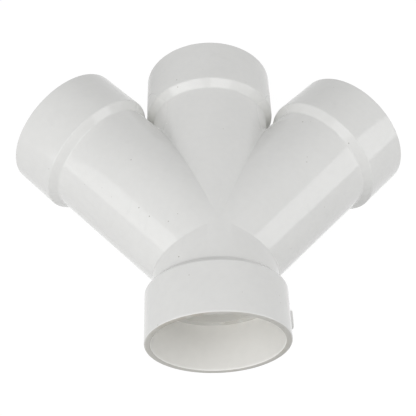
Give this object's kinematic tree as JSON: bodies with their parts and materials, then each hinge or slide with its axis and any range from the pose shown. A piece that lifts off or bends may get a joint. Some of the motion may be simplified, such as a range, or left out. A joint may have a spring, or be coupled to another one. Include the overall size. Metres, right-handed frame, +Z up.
{
  "type": "double wye pipe fitting",
  "caption": "White plastic drain fitting, a straight pipe run with a slanted branch on each side, and a wide socket hub with a sloped shoulder at every end.",
  "frame": {"origin": "on the surface that the fitting lies on, below the middle of its box", "axes": "+Z up from the surface, square to the plane of the pipe axes; +Y along the run, from the outlet towards the inlets; +X across, towards the branch that has the gate stub on its side"},
  "size_m": [0.3748, 0.2934, 0.1262],
  "materials": {
    "white_plastic": "smooth moulded white plastic with a soft gloss"
  },
  "bodies": {
    "root": {"double_wye": "white_plastic"}
  },
  "joints": []
}
